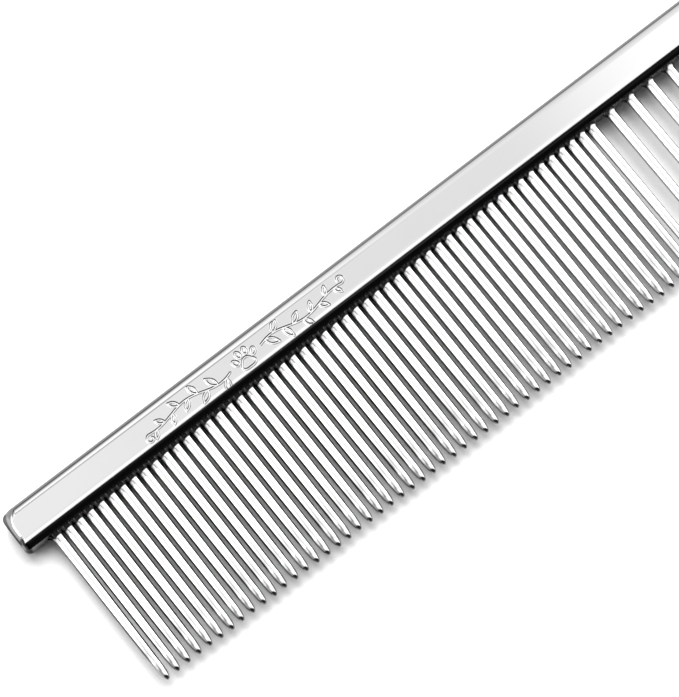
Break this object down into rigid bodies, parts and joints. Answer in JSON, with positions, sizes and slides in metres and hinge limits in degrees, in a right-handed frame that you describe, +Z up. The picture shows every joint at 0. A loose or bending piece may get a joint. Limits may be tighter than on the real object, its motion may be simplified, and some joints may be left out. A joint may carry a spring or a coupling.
{
  "type": "grooming comb",
  "caption": "Straight all-metal pet grooming comb: a bevelled bar spine with one row of round tapered pins, close-set on one half and wide-set on the other.",
  "frame": {"origin": "centre of the spine's lower broad face, which lies on the table", "axes": "+X along the spine from the fine end to the coarse end, +Z up through the spine's thickness, pins pointing to -Y"},
  "size_m": [0.1906, 0.0298, 0.0047],
  "materials": {
    "spine_steel": "mirror-polished bright metal bar with fine handling marks",
    "pin_steel": "mirror-polished bright metal pins with rounded tips"
  },
  "bodies": {
    "root": {"spine": "spine_steel", "fine_pin_01": "pin_steel", "fine_pin_02": "pin_steel", "fine_pin_03": "pin_steel", "fine_pin_04": "pin_steel", "fine_pin_05": "pin_steel", "fine_pin_06": "pin_steel", "fine_pin_07": "pin_steel", "fine_pin_08": "pin_steel", "fine_pin_09": "pin_steel", "fine_pin_10": "pin_steel", "fine_pin_11": "pin_steel", "fine_pin_12": "pin_steel", "fine_pin_13": "pin_steel", "fine_pin_14": "pin_steel", "fine_pin_15": "pin_steel", "fine_pin_16": "pin_steel", "fine_pin_17": "pin_steel", "fine_pin_18": "pin_steel", "fine_pin_19": "pin_steel", "fine_pin_20": "pin_steel", "fine_pin_21": "pin_steel", "fine_pin_22": "pin_steel", "fine_pin_23": "pin_steel", "fine_pin_24": "pin_steel", "fine_pin_25": "pin_steel", "fine_pin_26": "pin_steel", "fine_pin_27": "pin_steel", "fine_pin_28": "pin_steel", "fine_pin_29": "pin_steel", "fine_pin_30": "pin_steel", "fine_pin_31": "pin_steel", "fine_pin_32": "pin_steel", "fine_pin_33": "pin_steel", "fine_pin_34": "pin_steel", "fine_pin_35": "pin_steel", "fine_pin_36": "pin_steel", "fine_pin_37": "pin_steel", "fine_pin_38": "pin_steel", "fine_pin_39": "pin_steel", "fine_pin_40": "pin_steel", "fine_pin_41": "pin_steel", "fine_pin_42": "pin_steel", "fine_pin_43": "pin_steel", "fine_pin_44": "pin_steel", "fine_pin_45": "pin_steel", "fine_pin_46": "pin_steel", "fine_pin_47": "pin_steel", "fine_pin_48": "pin_steel", "fine_pin_49": "pin_steel", "fine_pin_50": "pin_steel", "fine_pin_51": "pin_steel", "fine_pin_52": "pin_steel", "coarse_rake_1": "pin_steel", "coarse_rake_2": "pin_steel", "coarse_rake_3": "pin_steel", "coarse_rake_4": "pin_steel", "coarse_rake_5": "pin_steel", "coarse_rake_6": "pin_steel", "coarse_rake_7": "pin_steel"}
  },
  "joints": []
}
